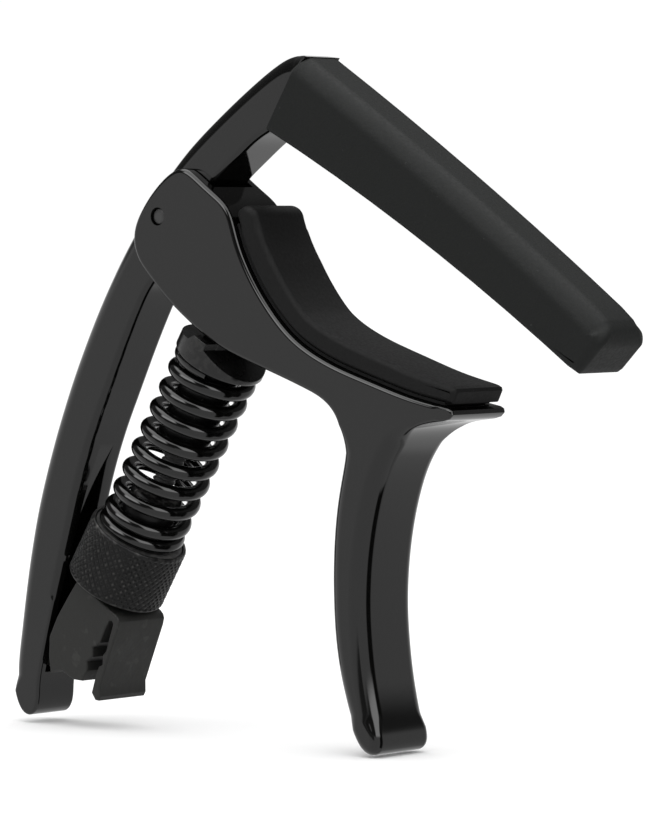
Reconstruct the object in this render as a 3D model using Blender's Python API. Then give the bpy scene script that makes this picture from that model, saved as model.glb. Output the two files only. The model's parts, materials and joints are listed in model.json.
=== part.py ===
"""Trigger guitar capo: two levers on one pin, a rubber string bar, a neck pad,
a compression spring on a threaded rod with a knurled tension nut, and a
pick-holder foot.  X points to the jaw opening, Z up, and Y runs along the pin.
The finished capo stands with the origin at the centre of its footprint.
Lengths below are in millimetres, measured from the pivot pin's centre."""

import math

import bmesh
import bpy
from mathutils import Matrix, Vector

MM = 0.001

# ---------------------------------------------------------------- dimensions
PIVOT = (-20.215, 63.6)
REAR_HALF_WIDTH = 3.4
CHEEK_GAP_HALF = 3.65
FRONT_HALF_WIDTH = 5.1
SLEEVE_HALF_WIDTH = 4.6
PAD_HALF_WIDTH = 4.75

PIN_RADIUS = 1.0
PIN_HALF_LENGTH = 4.85
CHEEK_HOLE_RADIUS = 1.25
LEVER_HOLE_RADIUS = 1.12

# string bar: a chord with a shallow arch
BAR_START = (16.9, 10.3)
BAR_ANGLE = math.radians(-31.3)
BAR_LENGTH = 54.0
BAR_RISE = 1.05
SLEEVE_WALL = 1.7

# rod line: from the spring seat's lower face down to the foot
SEAT_POINT = (5.40, -17.73)
ROD_ANGLE = math.radians(31.27)
ROD_RADIUS = 1.45
SEAT_RADIUS = 5.7
SEAT_SPIGOT_RADIUS = 3.3
SEAT_SPIGOT_LENGTH = 12.2
SEAT_BORE_RADIUS = 2.2
SEAT_BORE_TOP = 1.6
RIB_HALF_WIDTH = 1.25
RIB_HEIGHT = 3.45
INNER_RIB_HALF_LENGTH = 3.3
SWIVEL_HEIGHT = 4.0
SWIVEL_RADIUS = 1.3
SPRING_MEAN_RADIUS = 4.6
WIRE_RADIUS = 0.9
SPRING_PHASE = math.radians(62.0)
SPRING_START = 0.166
CLOSED_PITCH = 1.86
OPEN_PITCH = 2.93
CLOSED_TURNS_TOP = 0.95
OPEN_TURNS = 7.0
CLOSED_TURNS_END = 1.35
SPRING_TOP = 0.08
SPRING_END = 25.0
WASHER_TOP = 25.1
WASHER_THICKNESS = 0.55
WASHER_RADIUS = 5.75
WASHER_HOLE_RADIUS = 3.6
NUT_TOP = 25.0
NUT_RECESS_FLOOR = 25.7
NUT_BOTTOM = 33.0
NUT_RADIUS = 6.35
NUT_SPIGOT_RADIUS = 3.3
NUT_SPIGOT_TOP = 18.9
NUT_BORE_RADIUS = 1.6
ROD_TOP = 2.0
ROD_BOTTOM = 41.5
FOOT_PIVOT = (-22.4, -55.15)
FOOT_HALF_WIDTH = 4.3
TONGUE_HALF_WIDTH = 1.9
CHANNEL_HALF_WIDTH = 2.15


# ------------------------------------------------------------------- helpers
def clear_scene():
    for ob in list(bpy.data.objects):
        bpy.data.objects.remove(ob, do_unlink=True)
    for coll in list(bpy.data.collections):
        bpy.data.collections.remove(coll)


def new_collection(name):
    coll = bpy.data.collections.new(name)
    bpy.context.scene.collection.children.link(coll)
    return coll


def material(name, colour, roughness, metallic):
    mat = bpy.data.materials.new(name)
    mat.use_nodes = True
    shader = mat.node_tree.nodes["Principled BSDF"]
    shader.inputs["Base Color"].default_value = (*colour, 1.0)
    shader.inputs["Roughness"].default_value = roughness
    shader.inputs["Metallic"].default_value = metallic
    return mat


def spline(points, steps=4):
    """Catmull-Rom curve through the points, open at both ends."""
    ends = [tuple(2 * a - b for a, b in zip(points[0], points[1]))]
    tail = [tuple(2 * a - b for a, b in zip(points[-1], points[-2]))]
    p = ends + list(points) + tail
    out = []
    for i in range(1, len(p) - 2):
        for k in range(steps):
            t = k / steps
            row = []
            for a, b, c, d in zip(p[i - 1], p[i], p[i + 1], p[i + 2]):
                row.append(0.5 * (2 * b + (c - a) * t + (2 * a - 5 * b + 4 * c - d) * t * t
                                  + (3 * b - a - 3 * c + d) * t ** 3))
            out.append(tuple(row))
    out.append(tuple(points[-1]))
    return out


def arc(centre, radius, start_deg, end_deg, steps):
    out = []
    for k in range(steps + 1):
        a = math.radians(start_deg + (end_deg - start_deg) * k / steps)
        out.append((centre[0] + radius * math.cos(a), centre[1] + radius * math.sin(a)))
    return out


def bar_point(u, v):
    """Point of the string bar: u along the chord, v above the lower face."""
    lift = 4 * BAR_RISE * (u / BAR_LENGTH) * (1 - u / BAR_LENGTH) + v
    c, s = math.cos(BAR_ANGLE), math.sin(BAR_ANGLE)
    return (BAR_START[0] + u * c - lift * s, BAR_START[1] + u * s + lift * c)


def bar_height(u):
    return 10.0 - 0.090 * u + 0.0006 * u * u


def rod_point(n, s):
    """Point beside the rod line: n across it, s down it from the seat's face."""
    c, t = math.cos(ROD_ANGLE), math.sin(ROD_ANGLE)
    return (SEAT_POINT[0] + n * c - s * t, SEAT_POINT[1] - n * t - s * c)


def make_object(name, bm, coll, mat=None):
    mesh = bpy.data.meshes.new(name)
    bmesh.ops.recalc_face_normals(bm, faces=bm.faces)
    bm.to_mesh(mesh)
    bm.free()
    if mat is not None:
        mesh.materials.append(mat)
    ob = bpy.data.objects.new(name, mesh)
    coll.objects.link(ob)
    return ob


def prism(name, outline, y0, y1, coll, mat=None):
    """Outline in X and Z pushed along Y with sharp rims."""
    bm = bmesh.new()
    rings = []
    for y in (y0, y1):
        rings.append([bm.verts.new((x * MM, y * MM, z * MM)) for x, z in outline])
    count = len(outline)
    bm.faces.new(rings[0])
    bm.faces.new(list(reversed(rings[1])))
    for i in range(count):
        j = (i + 1) % count
        bm.faces.new((rings[0][i], rings[1][i], rings[1][j], rings[0][j]))
    return make_object(name, bm, coll, mat)


def inward_directions(outline, square):
    """Mitred inward direction at each corner.  A corner named in square moves
    straight towards the partner it is given, which keeps that end face flat."""
    count = len(outline)
    area = sum(outline[i][0] * outline[(i + 1) % count][1] - outline[(i + 1) % count][0] * outline[i][1]
               for i in range(count))
    sign = 1.0 if area > 0 else -1.0
    out = []
    for i in range(count):
        p = Vector(outline[i])
        if i in square:
            out.append((Vector(outline[square[i]]) - p).normalized())
            continue
        before = (p - Vector(outline[i - 1])).normalized()
        after = (Vector(outline[(i + 1) % count]) - p).normalized()
        n1 = Vector((-before.y, before.x)) * sign
        n2 = Vector((-after.y, after.x)) * sign
        middle = (n1 + n2).normalized()
        out.append(middle / max(middle.dot(n1), 0.6))
    return out


def rounded_prism(name, outline, half, coll, mat, radius, segments=3, square=None, slope=0.45):
    """Outline pushed along Y with quarter-round rims.  radius(x, z) gives the
    rim radius, and neighbouring radii differ by at most slope per millimetre."""
    count = len(outline)
    r = [radius(x, z) for x, z in outline]
    steps = [math.dist(outline[i], outline[(i + 1) % count]) for i in range(count)]
    for _ in range(2):
        for i in range(count):
            j = (i + 1) % count
            r[j] = min(r[j], r[i] + slope * steps[i])
        for i in reversed(range(count)):
            j = (i + 1) % count
            r[i] = min(r[i], r[j] + slope * steps[i])
    inward = inward_directions(outline, square or {})
    bm = bmesh.new()
    rings = []
    for side in (-1, 1):
        turns = range(segments + 1) if side < 0 else reversed(range(segments + 1))
        for k in turns:
            t = math.pi / 2 * k / segments
            ring = []
            for p, d, ri in zip(outline, inward, r):
                inset = ri * (1 - math.sin(t))
                y = side * (half - ri * (1 - math.cos(t)))
                ring.append(bm.verts.new(((p[0] + d.x * inset) * MM, y * MM, (p[1] + d.y * inset) * MM)))
            rings.append(ring)
    bm.faces.new(rings[0])
    bm.faces.new(list(reversed(rings[-1])))
    for a, b in zip(rings, rings[1:]):
        for i in range(count):
            j = (i + 1) % count
            bm.faces.new((a[i], b[i], b[j], a[j]))
    return make_object(name, bm, coll, mat)


def lathe(name, profile, coll, mat=None, steps=32, closed=False):
    """Profile of (radius, s) turned about the rod line.  A profile that
    starts and ends on the axis is solid; a closed one has a bore."""
    bm = bmesh.new()
    axis = Vector((-math.sin(ROD_ANGLE), 0, -math.cos(ROD_ANGLE)))
    side = Vector((math.cos(ROD_ANGLE), 0, -math.sin(ROD_ANGLE)))
    base = Vector((SEAT_POINT[0], 0, SEAT_POINT[1]))
    rings = []
    for radius, s in profile:
        centre = base + axis * s
        if radius < 1e-6:
            rings.append([bm.verts.new(centre * MM)])
            continue
        ring = []
        for k in range(steps):
            a = 2 * math.pi * k / steps
            ring.append(bm.verts.new((centre + side * (radius * math.cos(a))
                                      + Vector((0, radius * math.sin(a), 0))) * MM))
        rings.append(ring)
    pairs = list(zip(rings, rings[1:]))
    if closed:
        pairs.append((rings[-1], rings[0]))
    for a, b in pairs:
        for k in range(steps):
            j = (k + 1) % steps
            if len(a) == 1:
                bm.faces.new((a[0], b[j], b[k]))
            elif len(b) == 1:
                bm.faces.new((a[k], a[j], b[0]))
            else:
                bm.faces.new((a[k], a[j], b[j], b[k]))
    return make_object(name, bm, coll, mat)


def rod_along_y(name, x, z, radius, y0, y1, coll, mat=None, steps=24):
    return prism(name, arc((x, z), radius, 0, 360 * (steps - 1) / steps, steps - 1), y0, y1, coll, mat)


def boolean(target, tool, operation="DIFFERENCE"):
    mod = target.modifiers.new(operation.lower() + " " + tool.name, "BOOLEAN")
    mod.operation = operation
    mod.object = tool
    mod.solver = "EXACT"


def smooth(ob):
    for poly in ob.data.polygons:
        poly.use_smooth = True
    ob.data.set_sharp_from_angle(angle=math.radians(35))


# ---------------------------------------------------------------- rear lever
def rear_outline():
    """Handle, neck and the core of the string bar as one outline."""
    core_low = [bar_point(u, SLEEVE_WALL) for u in (0.0, 10, 20, 30, 40, BAR_LENGTH - 2.2)]
    core_high = [bar_point(u, bar_height(u) - SLEEVE_WALL) for u in (BAR_LENGTH - 2.2, 40, 30, 20, 10, 0.0)]
    back = [(21.0, 19.15), (19.6, 19.3), (18.0, 18.9), (16.4, 18.1), (14.2, 16.8), (10.6, 14.4),
            (7.0, 11.8), (3.9, 9.4), (1.3, 7.1), (-2.5, 3.1), (-6.1, -1.7), (-9.1, -6.0),
            (-12.15, -11.0), (-14.9, -16.2), (-17.35, -21.4), (-20.1, -28.2), (-22.55, -35.6),
            (-24.1, -42.0), (-25.2, -48.0), (-26.1, -54.0), (-26.35, -57.0), (-26.2, -59.2),
            (-25.7, -61.0)]
    end = arc((-23.95, -61.0), 2.0, 205, 350, 7)
    inner = [(-21.8, -58.2), (-20.5, -53.1), (-18.7, -46.7), (-16.6, -39.4), (-14.5, -32.3),
             (-12.4, -26.8), (-10.0, -21.7), (-7.5, -16.5), (-5.1, -11.9), (-3.4, -9.1),
             (-1.6, -7.2), (0.7, -5.4), (2.9, -3.3), (4.5, -0.5), (5.8, 1.8), (7.5, 4.2),
             (8.9, 5.3), (10.5, 6.5), (12.0, 7.6), (13.5, 8.7), (14.8, 9.5), (15.9, 10.0)]
    lower = bar_point(-0.25, 0.1)
    upper = bar_point(-0.1, bar_height(0) + 0.1)
    foot = bar_point(-0.25, SLEEVE_WALL)
    head = bar_point(-0.1, bar_height(0) - SLEEVE_WALL)
    return (core_low[1:] + core_high[:-1] + [head, upper] + spline(back, 3) + end
            + spline(inner, 3) + [lower, foot])


def rear_rim(x, z):
    """Large rounding on the lever's back; on its inner side a rim that grows downwards."""
    along = (x - BAR_START[0]) * math.cos(BAR_ANGLE) + (z - BAR_START[1]) * math.sin(BAR_ANGLE)
    if along > -0.4:
        return 0.4
    if z < -58.5:
        return 1.9
    if z < -6:
        middle = -6.4 + 0.60 * (z + 6) + 0.0058 * (z + 6) ** 2
        return 2.2 if x < middle else min(0.7 - 0.012 * (z + 6), 1.05)
    return 2.2 if (z - 2.0) > 0.82 * (x - 0.5) - 1.0 else 0.7


def trough(name, floor, floor_half_width, wall_deg, height, cutters):
    """Groove with a flat floor and side walls that lean outwards."""
    outer = offset_curve(floor, height)
    outer_half = floor_half_width + height * math.tan(math.radians(wall_deg))
    bm = bmesh.new()
    rings = []
    for (x0, z0), (x1, z1) in zip(floor, outer):
        corners = ((x0, -floor_half_width, z0), (x0, floor_half_width, z0),
                   (x1, outer_half, z1), (x1, -outer_half, z1))
        rings.append([bm.verts.new((x * MM, y * MM, z * MM)) for x, y, z in corners])
    bm.faces.new(rings[0])
    bm.faces.new(list(reversed(rings[-1])))
    for a, b in zip(rings, rings[1:]):
        for i in range(4):
            j = (i + 1) % 4
            bm.faces.new((a[i], b[i], b[j], a[j]))
    return make_object(name, bm, cutters)


def build_rear_lever(coll, cutters, mat):
    lever = rounded_prism("rear_lever", rear_outline(), REAR_HALF_WIDTH, coll, mat, rear_rim, slope=0.8)
    floor = [(-12.2, -27.0), (-15.8, -33.0), (-18.6, -39.5), (-21.2, -46.0), (-22.9, -51.5), (-24.1, -56.6)]
    cut_a = trough("cut trough", spline(floor, 3), 1.2, 25.0, 5.0, cutters)
    pocket = [(-21.4, -46.6), (-22.9, -51.5), (-24.1, -56.6), (-22.9, -57.7), (-20.6, -56.9),
              (-15.0, -56.4), (-15.0, -47.6), (-18.4, -45.6)]
    cut_b = prism("cut foot pocket", pocket, -CHANNEL_HALF_WIDTH, CHANNEL_HALF_WIDTH, cutters)
    cut_c = rod_along_y("cut lever bore", 0, 0, LEVER_HOLE_RADIUS, -8, 8, cutters)
    for tool in (cut_a, cut_b, cut_c):
        boolean(lever, tool)
    return lever


def build_string_pad(coll, cutters, mat):
    stations = [2, 10, 18, 26, 34, 42, 49]
    low = [bar_point(u, 0.0) for u in [0.0] + stations + [BAR_LENGTH - 0.5, BAR_LENGTH - 0.1]]
    end = [bar_point(BAR_LENGTH + 0.3, 0.6), bar_point(BAR_LENGTH + 0.9, 3.2), bar_point(BAR_LENGTH + 1.2, 4.8),
           bar_point(BAR_LENGTH + 0.7, 6.1), bar_point(BAR_LENGTH - 0.8, 6.75)]
    high = [bar_point(u, bar_height(u)) for u in reversed([0.0] + stations)]
    outline = low + end + high

    def rim(x, z):
        lift = (z - BAR_START[1]) * math.cos(BAR_ANGLE) - (x - BAR_START[0]) * math.sin(BAR_ANGLE)
        along = (x - BAR_START[0]) * math.cos(BAR_ANGLE) + (z - BAR_START[1]) * math.sin(BAR_ANGLE)
        if along > BAR_LENGTH - 0.3 and lift < 4.5:
            return 1.0
        return 2.7 if lift > 4.5 else 0.6

    ends = {0: len(outline) - 1, len(outline) - 1: 0}
    sleeve = rounded_prism("string_pad", outline, SLEEVE_HALF_WIDTH, coll, mat, rim, 4, ends, slope=0.8)
    gap = 0.06
    bore_low = [bar_point(u, SLEEVE_WALL - gap) for u in (-2.0, 10, 20, 30, 40, BAR_LENGTH - 2.2 + gap)]
    bore_high = [bar_point(u, bar_height(u) - SLEEVE_WALL + gap)
                 for u in (BAR_LENGTH - 2.2 + gap, 40, 30, 20, 10, -2.0)]
    bore = prism("cut sleeve bore", bore_low + bore_high, -REAR_HALF_WIDTH - gap, REAR_HALF_WIDTH + gap, cutters)
    boolean(sleeve, bore)
    return sleeve


# --------------------------------------------------------------- front lever
SADDLE = [(11.0, 1.2), (11.65, 0.2), (12.2, -1.4), (13.1, -3.9), (14.8, -7.0), (17.0, -10.0),
          (19.8, -13.0), (22.9, -15.3), (27.4, -17.4), (33.5, -19.35), (39.5, -21.05), (45.2, -22.15)]


def offset_curve(points, distance):
    """Curve moved sideways: to its left when distance is positive."""
    out = []
    for i, p in enumerate(points):
        a = points[max(i - 1, 0)]
        b = points[min(i + 1, len(points) - 1)]
        dx, dz = b[0] - a[0], b[1] - a[1]
        length = math.hypot(dx, dz)
        out.append((p[0] - dz / length * distance, p[1] + dx / length * distance))
    return out


def front_outline():
    nose = [(-1.7, -7.2), (-3.2, -5.6), (-4.0, -4.0), (-4.2, -2.5), (-3.8, -0.8), (-2.4, 1.4),
            (-0.8, 3.2), (1.0, 4.75), (2.7, 5.7), (3.9, 5.95), (5.2, 5.4), (7.9, 3.5), (10.0, 2.1)]
    tip = [(45.7, -22.4), (45.8, -22.9), (45.3, -23.4), (44.4, -23.65)]
    front = [(42.6, -23.9), (40.8, -24.2), (39.2, -24.9), (37.7, -26.2), (36.4, -27.8), (35.3, -29.6),
             (34.4, -31.7), (33.5, -34.6), (32.8, -37.8), (32.3, -41.5), (32.1, -45.8), (32.35, -50.0),
             (32.9, -54.2), (33.7, -58.0), (34.5, -60.9)]
    end = [(34.8, -62.0), (34.6, -63.0), (33.8, -63.6), (32.7, -63.6), (31.7, -63.0)]
    back = [(30.8, -61.7), (29.7, -59.4), (28.8, -56.8), (27.9, -53.6), (27.25, -49.8), (26.95, -45.6),
            (26.9, -41.5), (27.1, -37.6), (27.5, -34.2), (28.1, -31.2), (28.7, -28.6), (28.9, -26.6),
            (28.6, -24.8), (27.9, -23.3), (26.7, -22.1), (25.1, -21.15), (23.0, -20.35), (19.9, -19.25),
            (16.3, -18.05), (12.9, -16.9), (10.0, -15.8), (7.3, -14.4), (4.9, -12.8), (2.3, -10.9),
            (0.1, -9.0), (-1.7, -7.2)]
    return (spline(nose, 2)[:-1] + spline([nose[-1]] + SADDLE, 2) + tip + spline(front, 2)
            + end + spline(back, 2)[:-1])


def build_front_lever(coll, cutters, mat):
    def rim(x, z):
        if x > 43.5:
            return 0.35
        if z < -60.5:
            return 1.2
        return 2.0 if z < -24.8 and x > 25 else 0.6

    lever = rounded_prism("front_lever", front_outline(), FRONT_HALF_WIDTH, coll, mat, rim)
    slot = [(7.95, 3.75), (5.95, 0.85), (4.95, -1.5), (4.3, -5.0), (4.1, -8.0), (3.5, -11.0),
            (2.4, -14.0), (-12.0, -14.0), (-12.0, 12.0), (12.0, 12.0), (9.5, 6.0)]
    cut_a = prism("cut cheek slot", slot, -CHEEK_GAP_HALF, CHEEK_GAP_HALF, cutters)
    cut_b = rod_along_y("cut pin bores", 0, 0, CHEEK_HOLE_RADIUS, -8, 8, cutters)
    sx, sz = rod_point(0, -SWIVEL_HEIGHT)
    cut_c = rod_along_y("cut seat groove", sx, sz, SWIVEL_RADIUS + 0.3, -CHEEK_GAP_HALF, CHEEK_GAP_HALF, cutters)
    u = (math.cos(math.radians(-27.0)), math.sin(math.radians(-27.0)))
    m = (-u[1], u[0])
    hollow = []
    for a, b in ((-7.0, -4.0), (8.2, -4.0), (8.2, 0.0), (7.0, 1.2), (-7.0, 1.2)):
        hollow.append((sx + a * u[0] + b * m[0], sz + a * u[1] + b * m[1]))
    cut_d = prism("cut seat hollow", hollow, -CHEEK_GAP_HALF, CHEEK_GAP_HALF, cutters)
    for tool in (cut_a, cut_b, cut_c, cut_d):
        boolean(lever, tool)
    return lever


def strip(points, low, high):
    """Closed band between two offsets of a curve."""
    return offset_curve(points, low) + list(reversed(offset_curve(points, high)))


def build_neck_pad(coll, mat_pad, mat_film):
    line = spline(SADDLE[1:], 3)
    film = prism("neck_pad_adhesive", strip(line[2:-2], 0.08, 0.45), -4.2, 4.2, coll, mat_film)
    low = offset_curve(line, 0.5)
    count = len(line) - 1
    high = []
    for i, p in enumerate(line):
        share = i / count
        upper = min(max((0.4 - share) / 0.2, 0.0), 1.0)
        thickness = 2.45 + 1.3 * share - 1.75 * share ** 2 + 0.55 * upper
        high.append(offset_curve(line, 0.5 + thickness)[i])
    high = [p for p in high if p[1] < -1.0]
    high[-1] = (high[-1][0] + 0.3, high[-1][1] - 0.1)
    top = [(15.6, -0.35), (15.35, 0.4), (14.8, 1.0), (14.0, 1.3), (13.2, 1.25), (12.5, 0.9)]

    def rim(x, z):
        return 0.9 if z > -1.5 else 0.6

    pad = rounded_prism("neck_pad", low + list(reversed(high)) + top, PAD_HALF_WIDTH, coll, mat_pad, rim, 2)
    return pad, film


def build_pivot_pin(coll, mat):
    pin = rod_along_y("pivot_pin", 0, 0, PIN_RADIUS, -PIN_HALF_LENGTH, PIN_HALF_LENGTH, coll, mat)
    return pin


# -------------------------------------------------------- spring and tension
def seat_roof():
    """Seat's upper side as (n, height): two shallow slopes with a cross rib between them."""
    left = [(-7.0, 1.7), (-RIB_HALF_WIDTH - 0.45, 2.5), (-RIB_HALF_WIDTH + 0.35, RIB_HEIGHT)]
    right = [(RIB_HALF_WIDTH, RIB_HEIGHT), (RIB_HALF_WIDTH, 2.58), (7.0, 0.16)]
    return left + right


def build_spring_seat(coll, cutters, mat):
    r = SEAT_RADIUS
    profile = [(0, -4.2), (r, -4.2), (r, -0.2), (r - 0.2, 0), (SEAT_SPIGOT_RADIUS, 0),
               (SEAT_SPIGOT_RADIUS, SEAT_SPIGOT_LENGTH - 0.5), (SEAT_SPIGOT_RADIUS - 0.5, SEAT_SPIGOT_LENGTH),
               (0, SEAT_SPIGOT_LENGTH)]
    seat = lathe("spring_seat", profile, coll, mat)
    above = [rod_point(n, -height) for n, height in [(-7.0, 8.0)] + seat_roof() + [(7.0, 8.0)]]
    roof = prism("cut seat roof", above, -8, 8, cutters)
    sx, sz = rod_point(0, -SWIVEL_HEIGHT)
    lean = -math.degrees(ROD_ANGLE)
    rib = arc((sx, sz), SWIVEL_RADIUS, lean, lean + 180, 12)
    rib += [rod_point(-SWIVEL_RADIUS, -2.0), rod_point(SWIVEL_RADIUS, -2.0)]
    inner = prism("add seat rib", rib, -INNER_RIB_HALF_LENGTH, INNER_RIB_HALF_LENGTH, cutters)
    bore = lathe("cut seat bore", [(0, -SEAT_BORE_TOP), (SEAT_BORE_RADIUS, -SEAT_BORE_TOP),
                                   (SEAT_BORE_RADIUS, 14), (0, 14)], cutters)
    boolean(seat, roof)
    boolean(seat, inner, "UNION")
    boolean(seat, bore)
    return seat


def coil_height(turn):
    """Wire centre along the rod: closed coils at both ends, open coils between."""
    last_open = CLOSED_TURNS_TOP + OPEN_TURNS
    first = min(turn, CLOSED_TURNS_TOP)
    middle = min(max(turn - CLOSED_TURNS_TOP, 0.0), OPEN_TURNS)
    last = max(turn - last_open, 0.0)
    return SPRING_START + CLOSED_PITCH * (first + last) + OPEN_PITCH * middle


def build_spring(coll, mat):
    """Right-hand coil of round wire, its closed end coils ground flat."""
    bm = bmesh.new()
    ring_steps = 10
    per_turn = 20
    total = CLOSED_TURNS_TOP + OPEN_TURNS + CLOSED_TURNS_END
    axis = Vector((-math.sin(ROD_ANGLE), 0, -math.cos(ROD_ANGLE)))
    side = Vector((math.cos(ROD_ANGLE), 0, -math.sin(ROD_ANGLE)))
    across = Vector((0, 1, 0))
    base = Vector((SEAT_POINT[0], 0, SEAT_POINT[1]))
    rings = []
    count = round(total * per_turn)
    for i in range(count + 1):
        turn = total * i / count
        a = 2 * math.pi * turn + SPRING_PHASE
        radial = side * math.cos(a) - across * math.sin(a)
        ring = []
        for k in range(ring_steps):
            b = 2 * math.pi * k / ring_steps
            s = coil_height(turn) + WIRE_RADIUS * math.sin(b)
            s = min(max(s, SPRING_TOP), SPRING_END)
            out = SPRING_MEAN_RADIUS + WIRE_RADIUS * math.cos(b)
            ring.append(bm.verts.new((base + axis * s + radial * out) * MM))
        rings.append(ring)
    for a, b in zip(rings, rings[1:]):
        for k in range(ring_steps):
            j = (k + 1) % ring_steps
            bm.faces.new((a[k], a[j], b[j], b[k]))
    bm.faces.new(rings[0])
    bm.faces.new(list(reversed(rings[-1])))
    return make_object("spring", bm, coll, mat)


def build_spring_washer(coll, mat):
    top = WASHER_TOP
    low = WASHER_TOP + WASHER_THICKNESS
    profile = [(WASHER_HOLE_RADIUS, top), (WASHER_RADIUS, top), (WASHER_RADIUS, low), (WASHER_HOLE_RADIUS, low)]
    return lathe("spring_washer", profile, coll, mat, closed=True)


def build_tension_nut(coll, mat):
    """Drum with a recess for the washer and a spigot that guides the spring."""
    r = NUT_RADIUS
    spigot = NUT_SPIGOT_RADIUS
    rim_inner = WASHER_RADIUS + 0.1
    profile = [(NUT_BORE_RADIUS, NUT_SPIGOT_TOP), (spigot - 0.4, NUT_SPIGOT_TOP), (spigot, NUT_SPIGOT_TOP + 0.4),
               (spigot, NUT_RECESS_FLOOR), (rim_inner, NUT_RECESS_FLOOR), (rim_inner, NUT_TOP),
               (r - 0.25, NUT_TOP), (r, NUT_TOP + 0.3), (r, NUT_BOTTOM - 0.5), (r - 0.5, NUT_BOTTOM),
               (NUT_BORE_RADIUS, NUT_BOTTOM)]
    return lathe("tension_nut", profile, coll, mat, steps=48, closed=True)


def build_threaded_rod(coll, mat):
    r = ROD_RADIUS
    profile = [(0, ROD_TOP), (r - 0.4, ROD_TOP), (r, ROD_TOP + 0.4), (r, ROD_BOTTOM), (0, ROD_BOTTOM)]
    return lathe("threaded_rod", profile, coll, mat, steps=24)


# --------------------------------------------------------------- pick holder
def build_pick_holder(coll, cutters, mat):
    top = 33.7
    body = [rod_point(-2.6, top), rod_point(4.9, top), rod_point(5.9, top + 0.45), rod_point(6.15, top + 1.3),
            rod_point(6.7, 38.6), rod_point(7.35, 42.7), rod_point(8.1, 43.9), rod_point(8.1, 44.5),
            rod_point(7.6, 44.75), rod_point(6.6, 44.3)]
    slot = [rod_point(6.2, 42.6), rod_point(5.9, 40.9), rod_point(6.3, 40.3), rod_point(5.75, 39.2),
            rod_point(5.95, 38.5), rod_point(5.4, 36.0), rod_point(5.2, 35.0), rod_point(4.85, 34.75),
            rod_point(4.5, 35.0), rod_point(4.45, 36.0), rod_point(4.6, 38.2), rod_point(3.9, 39.4),
            rod_point(4.5, 40.4), rod_point(4.0, 41.4), rod_point(4.6, 42.4)]
    base = [rod_point(4.5, 44.0), rod_point(3.2, 44.7), rod_point(1.0, 44.9), rod_point(-0.4, 46.2)]
    back = [rod_point(-1.7, 44.6), rod_point(-2.9, 42.4), rod_point(-3.1, 39.5), rod_point(-2.9, 36.6)]
    holder = rounded_prism("pick_holder", body + slot + base + back, FOOT_HALF_WIDTH, coll, mat,
                           lambda x, z: 0.25, 2)
    fx, fz = FOOT_PIVOT
    toe = [rod_point(0.5, 43.5), rod_point(-1.2, 46.6)] + arc((fx, fz), 1.15, -70, -210, 7) + [rod_point(-2.0, 40.5)]
    tongue = prism("add foot tongue", toe, -TONGUE_HALF_WIDTH, TONGUE_HALF_WIDTH, cutters)
    bore = lathe("cut rod socket", [(0, 30), (ROD_RADIUS + 0.1, 30), (ROD_RADIUS + 0.1, ROD_BOTTOM + 0.1),
                                    (0, ROD_BOTTOM + 0.1)], cutters, steps=24)
    boolean(holder, tongue, "UNION")
    boolean(holder, bore)
    return holder


# ------------------------------------------------------------------ assembly
def place(ob, x=0.0, z=0.0):
    """Give the object an origin at x, z from the pivot pin and stand it in place."""
    ob.data.transform(Matrix.Translation((-x * MM, 0, -z * MM)))
    ob.location = ((PIVOT[0] + x) * MM, 0, (PIVOT[1] + z) * MM)


def main():
    clear_scene()
    coll = new_collection("guitar_capo")
    cutters = new_collection("cutters")
    gloss = material("glossy black metal", (0.012, 0.012, 0.013), 0.12, 0.6)
    steel = material("black spring steel", (0.010, 0.010, 0.010), 0.15, 0.8)
    satin = material("satin black metal", (0.020, 0.020, 0.020), 0.40, 0.7)
    dull = material("dull dark steel", (0.05, 0.05, 0.05), 0.45, 0.8)
    rubber = material("matte grey rubber", (0.018, 0.022, 0.021), 0.62, 0.0)
    pad = material("matte black rubber", (0.010, 0.010, 0.010), 0.75, 0.0)
    plastic = material("matte black plastic", (0.022, 0.022, 0.021), 0.58, 0.0)
    film = material("adhesive film", (0.006, 0.006, 0.006), 0.85, 0.0)

    parts = [build_rear_lever(coll, cutters, gloss)]
    parts.append(build_string_pad(coll, cutters, rubber))
    parts.append(build_front_lever(coll, cutters, gloss))
    parts.extend(build_neck_pad(coll, pad, film))
    parts.append(build_pivot_pin(coll, dull))
    parts.append(build_spring_seat(coll, cutters, satin))
    parts.append(build_spring(coll, steel))
    parts.append(build_spring_washer(coll, dull))
    parts.append(build_tension_nut(coll, satin))
    parts.append(build_threaded_rod(coll, dull))
    parts.append(build_pick_holder(coll, cutters, plastic))
    turning_points = {
        "spring_seat": rod_point(0, -SWIVEL_HEIGHT),
        "spring": FOOT_PIVOT,
        "threaded_rod": FOOT_PIVOT,
        "pick_holder": FOOT_PIVOT,
        "spring_washer": rod_point(0, WASHER_TOP),
        "tension_nut": rod_point(0, NUT_TOP),
    }
    for ob in parts:
        smooth(ob)
        place(ob, *turning_points.get(ob.name, (0.0, 0.0)))
    for ob in cutters.objects:
        place(ob)
        ob.hide_render = True
        ob.display_type = "WIRE"


main()
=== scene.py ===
"""Studio scene of the trigger guitar capo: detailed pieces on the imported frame,
procedural materials, a white cove and the camera.  Lengths in the geometry
sections are millimetres from the pivot pin's centre, and each mesh is moved to
the frame's own origin when it is made."""

import json
import math

import bmesh
import bpy
import numpy as np
from mathutils import Matrix, Vector

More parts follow.
